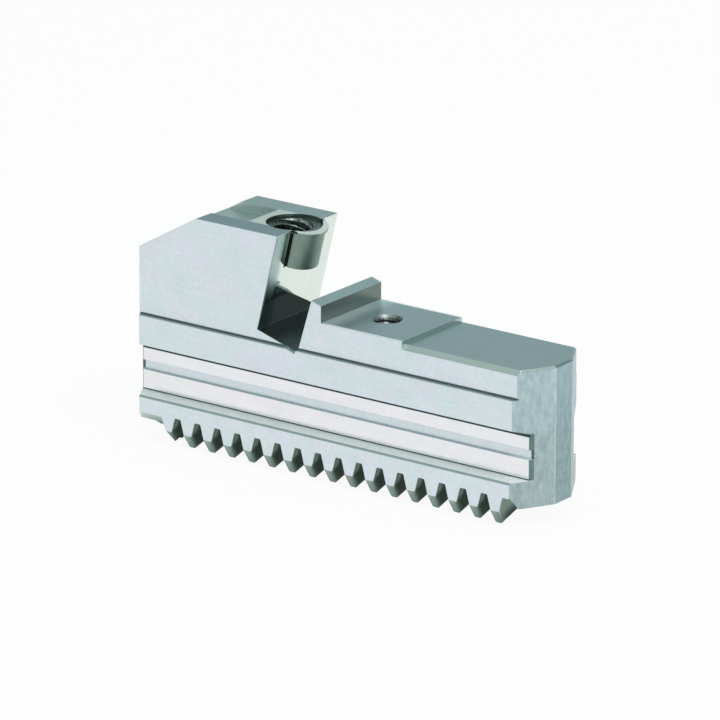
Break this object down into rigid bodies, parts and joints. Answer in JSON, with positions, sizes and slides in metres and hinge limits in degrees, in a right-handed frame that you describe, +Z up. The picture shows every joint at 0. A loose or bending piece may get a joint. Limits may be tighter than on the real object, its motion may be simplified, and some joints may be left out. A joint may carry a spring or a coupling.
{
  "type": "chuck base jaw",
  "caption": "Machined steel base jaw with a slanted rack underneath, guide grooves along both sides, a raised block with an inclined slot and a threaded bush.",
  "frame": {"origin": "middle of the jaw's length and width, at the level of the tooth crests that it rests on", "axes": "+X along the jaw from the raised block to the plain end, +Y across it away from the side that the picture shows, +Z up from the rack to the seat of the top jaw"},
  "size_m": [0.131, 0.0294, 0.0635],
  "materials": {
    "jaw_steel": "ground and milled hardened steel",
    "bush_steel": "turned hardened steel"
  },
  "bodies": {
    "root": {"base_jaw": "jaw_steel", "threaded_bush": "bush_steel"}
  },
  "joints": []
}
